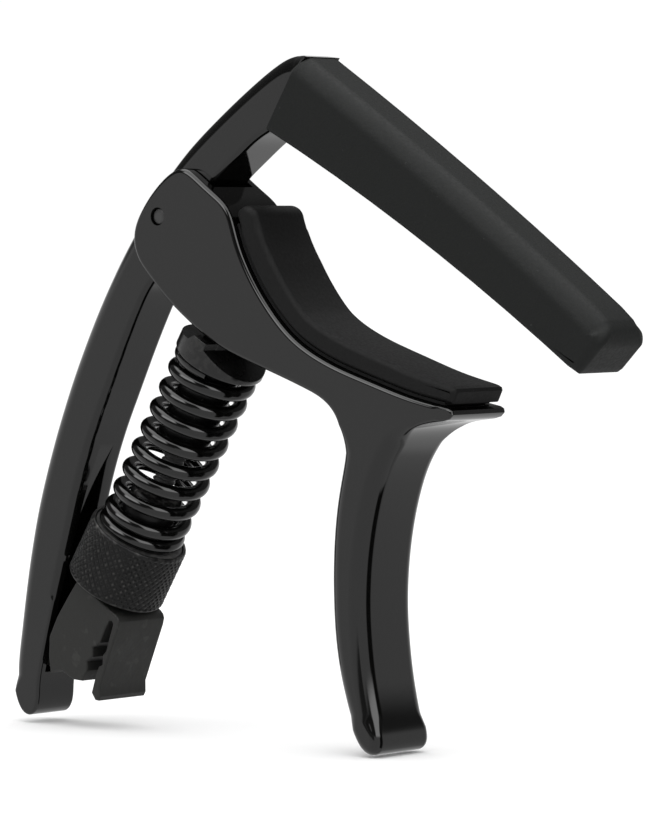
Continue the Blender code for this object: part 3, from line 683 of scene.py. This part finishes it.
# --------------------------------------------------------------- pick holder
def build_pick_holder(mat):
    top = 33.7
    body = [rod_point(-2.6, top), rod_point(4.9, top), rod_point(5.5, top + 0.15), rod_point(5.9, top + 0.5),
            rod_point(6.15, top + 1.3), rod_point(6.7, 38.6), rod_point(7.35, 42.7), rod_point(8.1, 43.9),
            rod_point(8.1, 44.5), rod_point(7.6, 44.75), rod_point(6.6, 44.3)]
    slot = [rod_point(6.2, 42.6), rod_point(5.9, 40.9), rod_point(6.3, 40.3), rod_point(5.75, 39.2),
            rod_point(5.95, 38.5), rod_point(5.4, 36.0), rod_point(5.2, 35.0), rod_point(4.85, 34.75),
            rod_point(4.5, 35.0), rod_point(4.45, 36.0), rod_point(4.6, 38.2), rod_point(3.9, 39.4),
            rod_point(4.5, 40.4), rod_point(4.0, 41.4), rod_point(4.6, 42.4)]
    base = [rod_point(4.5, 44.0), rod_point(3.2, 44.7), rod_point(1.0, 44.9), rod_point(-0.4, 46.2)]
    back = [rod_point(-1.7, 44.6), rod_point(-2.9, 42.4), rod_point(-3.1, 39.5), rod_point(-2.9, 36.6)]
    holder = rounded_prism("pick_holder_moulded", body + slot + base + back, FOOT_HALF_WIDTH, mat,
                           lambda x, z: 0.25, 5)
    toe = [rod_point(0.5, 43.5), rod_point(-1.2, 46.6)] + arc(FOOT_PIVOT, TONGUE_TOE_RADIUS, -70, -210, 14)
    toe.append(rod_point(-2.0, 40.5))
    combine(holder, prism("add foot tongue", toe, -TONGUE_HALF_WIDTH, TONGUE_HALF_WIDTH), "UNION")
    socket, socket_end = ROD_RADIUS + 0.1, ROD_BOTTOM + 0.1
    bore = [(0, 30), (socket, 30), (socket, socket_end), (0, socket_end)]
    combine(holder, lathe("cut rod socket", bore, steps=48))
    finish_surface(holder, 28)
    return holder


# ----------------------------------------------------------------- materials
class Nodes:
    """Small builder for one material's or world's node tree."""

    def __init__(self, tree):
        self.tree = tree

    def add(self, kind, **settings):
        node = self.tree.nodes.new(kind)
        for key, value in settings.items():
            setattr(node, key, value)
        return node

    def link(self, a, b):
        self.tree.links.new(a, b)

    def feed(self, socket, value):
        if hasattr(value, "is_linked"):
            self.link(value, socket)
        else:
            socket.default_value = value

    def calc(self, operation, *values, clamp=False):
        node = self.add("ShaderNodeMath", operation=operation, use_clamp=clamp)
        for socket, value in zip(node.inputs, values):
            self.feed(socket, value)
        return node.outputs[0]

    def noise(self, where, scale, detail=2.0, roughness=0.5):
        node = self.add("ShaderNodeTexNoise")
        self.link(where, node.inputs["Vector"])
        node.inputs["Scale"].default_value = scale
        node.inputs["Detail"].default_value = detail
        node.inputs["Roughness"].default_value = roughness
        return node.outputs["Fac"]

    def remap(self, value, a, b, c, d):
        node = self.add("ShaderNodeMapRange", clamp=True, interpolation_type="SMOOTHSTEP")
        for socket, v in zip(node.inputs, (value, a, b, c, d)):
            self.feed(socket, v)
        return node.outputs[0]

    def mix_colour(self, factor, a, b):
        node = self.add("ShaderNodeMix", data_type="RGBA")
        self.feed(node.inputs["Factor"], factor)
        self.feed(node.inputs["A"], (*a, 1.0) if isinstance(a, tuple) else a)
        self.feed(node.inputs["B"], (*b, 1.0) if isinstance(b, tuple) else b)
        return node.outputs["Result"]

    def bump(self, height, strength, distance):
        node = self.add("ShaderNodeBump")
        self.link(height, node.inputs["Height"])
        node.inputs["Strength"].default_value = strength
        node.inputs["Distance"].default_value = distance
        return node.outputs["Normal"]


def new_material(name):
    mat = bpy.data.materials.new(name)
    mat.use_nodes = True
    shader = mat.node_tree.nodes["Principled BSDF"]
    nodes = Nodes(mat.node_tree)
    place = nodes.add("ShaderNodeTexCoord").outputs["Object"]
    return mat, shader, nodes, place


def edge_wear(nodes, amount):
    """Factor that is high along sharp outer edges, broken up by the caller's noise."""
    return nodes.remap(nodes.add("ShaderNodeNewGeometry").outputs["Pointiness"], 0.52, 0.60, 0.0, amount)


def glossy_black(name, roughness=0.07):
    """Black plated metal: nearly all of what shows is clear reflection."""
    mat, shader, nodes, place = new_material(name)
    cloud = nodes.noise(place, 60.0, 3.0)
    fine = nodes.noise(place, 900.0, 2.0)
    colour = nodes.mix_colour(cloud, (0.0008, 0.0008, 0.0007), (0.0016, 0.0016, 0.0015))
    nodes.link(colour, shader.inputs["Base Color"])
    nodes.link(nodes.remap(cloud, 0.3, 0.7, roughness * 0.8, roughness * 1.3), shader.inputs["Roughness"])
    nodes.link(nodes.bump(fine, 0.02, 0.0001), shader.inputs["Normal"])
    shader.inputs["IOR"].default_value = 1.5
    return mat


def satin_black(name, base=0.012, roughness=0.34, wear=0.5, level=0.4):
    """Blackened steel with worn, lighter crests."""
    mat, shader, nodes, place = new_material(name)
    cloud = nodes.noise(place, 300.0, 4.0)
    speck = nodes.noise(place, 1400.0, 2.0)
    worn = nodes.calc("MULTIPLY", edge_wear(nodes, wear), nodes.remap(speck, 0.45, 0.62, 0.0, 1.0))
    dark = nodes.mix_colour(cloud, (base * 0.7,) * 3, (base * 1.5,) * 3)
    nodes.link(nodes.mix_colour(worn, dark, (0.22, 0.215, 0.205)), shader.inputs["Base Color"])
    nodes.link(nodes.remap(cloud, 0.3, 0.7, roughness * 0.85, roughness * 1.25), shader.inputs["Roughness"])
    nodes.link(nodes.bump(speck, 0.12, 0.0001), shader.inputs["Normal"])
    nodes.link(nodes.calc("MULTIPLY", worn, 0.8), shader.inputs["Metallic"])
    shader.inputs["Specular IOR Level"].default_value = level
    return mat


def matte_rubber(name, low, high, roughness, sheen_level):
    """Moulded rubber: fine grain, faint blotches and a few pale dust specks."""
    mat, shader, nodes, place = new_material(name)
    blotch = nodes.noise(place, 45.0, 4.0, 0.6)
    grain = nodes.noise(place, 2600.0, 2.0, 0.6)
    dust = nodes.remap(nodes.noise(place, 1900.0, 1.0), 0.76, 0.82, 0.0, 0.15)
    body = nodes.mix_colour(blotch, low, high)
    nodes.link(nodes.mix_colour(dust, body, (0.10, 0.10, 0.10)), shader.inputs["Base Color"])
    nodes.link(nodes.remap(grain, 0.3, 0.7, roughness * 0.92, roughness * 1.08), shader.inputs["Roughness"])
    nodes.link(nodes.bump(grain, 0.35, 0.00006), shader.inputs["Normal"])
    shader.inputs["Specular IOR Level"].default_value = sheen_level
    return mat


def moulded_plastic(name):
    """Matte moulded plastic with a lightly scuffed, mottled skin."""
    mat, shader, nodes, place = new_material(name)
    blotch = nodes.noise(place, 220.0, 5.0, 0.65)
    grain = nodes.noise(place, 1700.0, 3.0)
    scuff = nodes.remap(nodes.noise(place, 650.0, 2.0), 0.62, 0.72, 0.0, 0.5)
    body = nodes.mix_colour(blotch, (0.008, 0.008, 0.0074), (0.018, 0.018, 0.0166))
    nodes.link(nodes.mix_colour(scuff, body, (0.030, 0.030, 0.028)), shader.inputs["Base Color"])
    nodes.link(nodes.remap(blotch, 0.3, 0.7, 0.42, 0.62), shader.inputs["Roughness"])
    nodes.link(nodes.bump(grain, 0.30, 0.00008), shader.inputs["Normal"])
    shader.inputs["Specular IOR Level"].default_value = 0.30
    return mat


# ------------------------------------------------------------- studio, world
def build_world():
    """White cove for the camera, and the cards and soft boxes that the gloss reflects.
    Bearings are degrees from -Y towards +X, and heights are the sine of the elevation."""
    world = bpy.data.worlds.new("white cove")
    bpy.context.scene.world = world
    world.use_nodes = True
    world.node_tree.nodes.clear()
    nodes = Nodes(world.node_tree)
    direction = nodes.add("ShaderNodeTexCoord").outputs["Generated"]
    split = nodes.add("ShaderNodeSeparateXYZ")
    nodes.link(direction, split.inputs[0])
    x, y, z = split.outputs[0], split.outputs[1], split.outputs[2]
    turn = nodes.calc("MULTIPLY", nodes.calc("ARCTAN2", x, nodes.calc("MULTIPLY", y, -1.0)), 180 / math.pi)

    def window(value, low, high, soft):
        rise = nodes.remap(value, low - soft, low + soft, 0.0, 1.0)
        fall = nodes.remap(value, high - soft, high + soft, 1.0, 0.0)
        return nodes.calc("MULTIPLY", rise, fall)

    def layer(under, mask, level):
        """Blend from what lies under to a level where the mask is 1."""
        kept = nodes.calc("MULTIPLY", under, nodes.calc("SUBTRACT", 1.0, mask))
        return nodes.calc("ADD", kept, nodes.calc("MULTIPLY", mask, level))

    horizon = nodes.remap(z, -0.01, 0.03, 0.0, 1.0)
    low_band = nodes.calc("MULTIPLY", horizon, nodes.remap(z, 0.13, 0.22, 1.0, 0.0))
    front_dark = nodes.calc("MULTIPLY", window(turn, -31, 29, 3), low_band)
    side_dark = nodes.calc("MULTIPLY", window(turn, 94, 131, 3), window(z, -0.56, 0.30, 0.03))
    upper_dark = window(z, 0.18, 0.72, 0.05)
    left_box = nodes.calc("MULTIPLY", window(turn, -38, 14, 5), window(z, 0.45, 0.80, 0.05))
    right_box = nodes.calc("MULTIPLY", window(turn, 52, 102, 5), window(z, 0.20, 0.80, 0.06))
    overhead = nodes.remap(z, 0.72, 0.82, 0.0, 1.0)

    cards = layer(0.88, window(turn, 128, 170, 6), 0.62)
    cards = layer(cards, front_dark, 0.16)
    cards = layer(cards, upper_dark, 0.10)
    cards = layer(cards, side_dark, 0.03)
    cards = layer(cards, left_box, 4.5)
    cards = layer(cards, right_box, 3.5)
    cards = layer(cards, overhead, 2.6)

    path = nodes.add("ShaderNodeLightPath")
    glossy = nodes.calc("MULTIPLY", path.outputs["Is Glossy Ray"], cards)
    camera = nodes.calc("MULTIPLY", path.outputs["Is Camera Ray"], 1.02)
    either = nodes.calc("ADD", path.outputs["Is Glossy Ray"], path.outputs["Is Camera Ray"], clamp=True)
    rest = nodes.calc("MULTIPLY", nodes.calc("SUBTRACT", 1.0, either), 1.30)
    strength = nodes.calc("ADD", nodes.calc("ADD", glossy, camera), rest)
    ground = nodes.add("ShaderNodeBackground")
    ground.inputs["Color"].default_value = (1.0, 1.0, 1.0, 1.0)
    nodes.link(strength, ground.inputs["Strength"])
    out = nodes.add("ShaderNodeOutputWorld")
    nodes.link(ground.outputs[0], out.inputs[0])


def build_floor():
    bm = bmesh.new()
    for x, y in ((-3, -3), (3, -3), (3, 3), (-3, 3)):
        bm.verts.new(Vector((x, y, FLOOR_Z * MM)) - PIVOT_SHIFT)
    bm.faces.new(bm.verts)
    mat, shader = new_material("white floor")[:2]
    shader.inputs["Base Color"].default_value = (0.84, 0.84, 0.84, 1.0)
    shader.inputs["Roughness"].default_value = 0.9
    shader.inputs["Specular IOR Level"].default_value = 0.0
    floor = make_object("studio_floor", bm, mat)
    floor.visible_glossy = False


def build_light():
    data = bpy.data.lights.new("overhead soft box", "AREA")
    data.shape = "RECTANGLE"
    data.size = 0.5
    data.size_y = 0.5
    data.energy = 1.2
    lamp = bpy.data.objects.new("overhead soft box", data)
    lamp.location = (0.0, -0.10, 0.61)
    lamp.rotation_euler = (math.radians(-8), 0, 0)
    lamp.visible_glossy = False
    bpy.context.scene.collection.objects.link(lamp)


def build_camera():
    """Long lens at the front right, just above the object's middle."""
    azimuth, elevation, distance = math.radians(40.0), math.radians(2.5), 0.56
    aim = Vector((-0.003795, 0.00773, 0.03994))
    back = Vector((math.sin(azimuth) * math.cos(elevation), -math.cos(azimuth) * math.cos(elevation),
                   math.sin(elevation)))
    data = bpy.data.cameras.new("camera")
    data.lens = 201.46
    data.sensor_width = 36.0
    camera = bpy.data.objects.new("camera", data)
    camera.location = aim + back * distance
    camera.rotation_mode = "QUATERNION"
    camera.rotation_quaternion = (-back).to_track_quat("-Z", "Y")
    bpy.context.scene.collection.objects.link(camera)
    bpy.context.scene.camera = camera


# ------------------------------------------------------------------ assembly
def stretch_between(spring, low_body, high_body):
    """The spring's ends follow the washer and the seat, and its coils spread evenly."""
    low_group = spring.vertex_groups.new(name="washer end")
    high_group = spring.vertex_groups.new(name="seat end")
    length = SPRING_END - SPRING_TOP
    for v in spring.data.vertices:
        s = ((v.co - PIVOT_SHIFT) / MM - ROD_BASE).dot(ROD_AXIS)
        share = min(max((s - SPRING_TOP - WIRE_RADIUS) / (length - 2 * WIRE_RADIUS), 0.0), 1.0)
        low_group.add([v.index], share, "REPLACE")
        high_group.add([v.index], 1.0 - share, "REPLACE")
    for group, body in (("washer end", low_body), ("seat end", high_body)):
        mod = spring.modifiers.new(group, "HOOK")
        mod.object = frame["bodies"][body]
        mod.vertex_group = group
        mod.falloff_type = "NONE"
        mod.matrix_inverse = Matrix.Identity(4)
        mod.center = (0, 0, 0)


def main():
    gloss = glossy_black("glossy black lever")
    steel = glossy_black("black spring steel", 0.10)
    nut_mat = satin_black("black knurled steel", 0.004, 0.34, 0.35, 0.20)
    seat_mat = satin_black("black turned steel", 0.003, 0.24, 0.2, 0.40)
    dull = satin_black("dull dark steel", 0.03, 0.40, 0.3)
    rubber = matte_rubber("matte grey rubber", (0.0062, 0.0068, 0.0065), (0.0084, 0.0091, 0.0087), 0.55, 0.16)
    pad_rubber = matte_rubber("matte black rubber", (0.0028,) * 3, (0.0046,) * 3, 0.60, 0.18)
    film_mat = matte_rubber("adhesive film", (0.004,) * 3, (0.006,) * 3, 0.8, 0.2)
    plastic = moulded_plastic("matte black plastic")

    pad, film = build_neck_pad(pad_rubber, film_mat)
    spring = build_spring(steel)
    pieces = [
        (build_rear_lever(gloss), "rear_lever", "rear_lever", "gloss_black_metal"),
        (build_string_sleeve(rubber), "rear_lever", "string_pad", "grey_rubber"),
        (build_front_lever(gloss), "front_lever", "front_lever", "gloss_black_metal"),
        (pad, "front_lever", "neck_pad", "black_rubber"),
        (film, "front_lever", "neck_pad_adhesive", "adhesive"),
        (build_pivot_pin(dull), "front_lever", "pivot_pin", "dark_steel"),
        (build_spring_seat(seat_mat), "spring_seat", "spring_seat", "satin_black_metal"),
        (spring, "rod_foot", "spring", "spring_steel"),
        (build_spring_washer(dull), "spring_washer", "spring_washer", "dark_steel"),
        (build_tension_nut(nut_mat), "tension_nut", "tension_nut", "satin_black_metal"),
        (build_threaded_rod(dull), "rod_foot", "threaded_rod", "dark_steel"),
        (build_pick_holder(plastic), "rod_foot", "pick_holder", "black_plastic"),
    ]
    for piece, body, node, finish in pieces:
        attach(piece, body)
        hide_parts(node)
    stretch_between(spring, "spring_washer", "spring_seat")
    build_world()
    build_floor()
    build_light()
    build_camera()
    bpy.context.scene.view_settings.view_transform = "Standard"


main()
